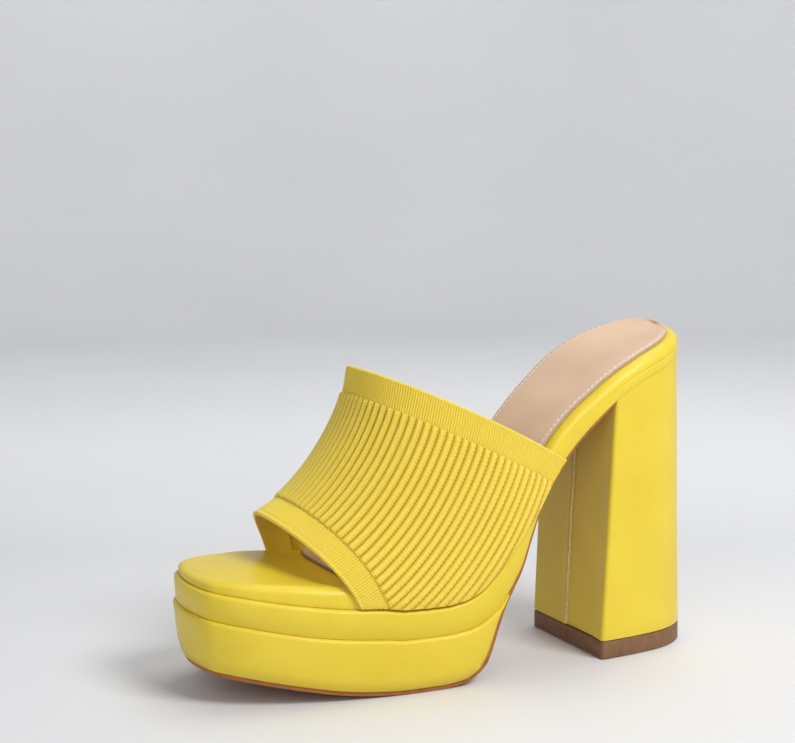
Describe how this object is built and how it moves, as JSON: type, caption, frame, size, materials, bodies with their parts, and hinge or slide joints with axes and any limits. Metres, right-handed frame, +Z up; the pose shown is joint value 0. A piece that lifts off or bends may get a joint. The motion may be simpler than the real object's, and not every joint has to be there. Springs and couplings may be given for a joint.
{
  "type": "platform mule",
  "caption": "Left open-toe, open-back mule with a rib-knit upper, a wrapped double platform and a tall block heel.",
  "frame": {"origin": "middle of the heel tip's bottom face, on the floor", "axes": "+X from heel to toe, +Y to the outer side of the left foot, +Z up"},
  "size_m": [0.2181, 0.084, 0.1352],
  "materials": {
    "yellow_leather": "smooth semi-gloss wrap",
    "yellow_knit": "matt rib knit",
    "nude_lining": "satin lining",
    "tan_board": "stained edge",
    "brown_rubber": "matt"
  },
  "bodies": {
    "root": {"outsole": "tan_board", "platform_lower": "yellow_leather", "platform_upper": "yellow_leather", "footbed": "yellow_leather", "sock": "nude_lining", "upper": "yellow_knit", "heel": "yellow_leather", "top_piece": "brown_rubber"}
  },
  "joints": []
}
